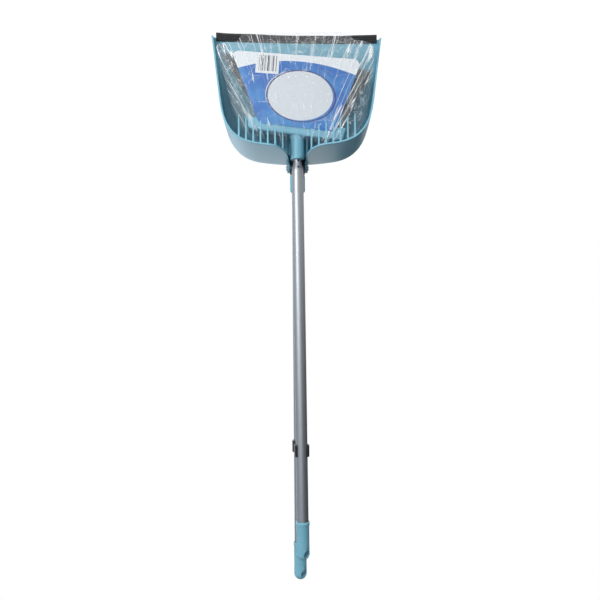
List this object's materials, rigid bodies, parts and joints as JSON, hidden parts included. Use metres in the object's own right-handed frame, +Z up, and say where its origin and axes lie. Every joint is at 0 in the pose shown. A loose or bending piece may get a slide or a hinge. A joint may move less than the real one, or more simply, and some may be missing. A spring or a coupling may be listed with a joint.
{
  "type": "dust pan and brush set",
  "caption": "Upright lobby dust pan with a hinged long handle, comb teeth and rubber lip, and an angled broom snapped on in front of the handle.",
  "frame": {"origin": "centre of the hanging hole in the pan handle's grip, on the axis of the pan's tube", "axes": "+Z up along the pan's tube with the set hanging from its hole and the pan's lip at the bottom; the pan opens towards -Y, where the broom is; X runs across the pan"},
  "size_m": [0.298, 0.106, 0.9676],
  "materials": {
    "blue_plastic": "light blue moulded plastic, satin",
    "black_plastic": "black moulded plastic",
    "black_rubber": "black ribbed rubber",
    "grey_tube": "grey powder-coated thin steel tube, satin",
    "steel": "plain steel pin",
    "bristle": "grey plastic filaments",
    "block": "dark moulded plastic core",
    "print": "printed card, white and blue, no lettering",
    "clear_film": "thin clear wrinkled film"
  },
  "bodies": {
    "handle": {"pan_tube": "grey_tube", "pan_grip": "blue_plastic", "hinge_yoke": "black_plastic", "handle_socket": "blue_plastic", "storage_clip": "black_plastic"},
    "pan": {"pan_shell": "blue_plastic", "left_comb": "blue_plastic", "right_comb": "blue_plastic", "lip_strip": "black_rubber", "hinge_pin": "steel"},
    "broom": {"broom_tube": "grey_tube", "broom_grip": "blue_plastic", "broom_ferrule": "black_plastic", "broom_cap": "blue_plastic", "bristle_block": "block", "bristles": "bristle", "label_card": "print", "film_bag": "clear_film"}
  },
  "joints": [
    {"name": "broom_release", "type": "slide", "parent": "handle", "child": "broom", "axis": [0, -0.8, -0.6], "range_m": [0, 0.5]},
    {"name": "pan_open", "type": "hinge", "parent": "handle", "child": "pan", "pos_m": [0, 0, -0.7126], "axis": [-1, 0, 0], "range_deg": [0, 90]}
  ],
  "couplings": [
    {"joint": "pan_open", "follows": "broom_release", "rad_per_m": 3.14}
  ]
}
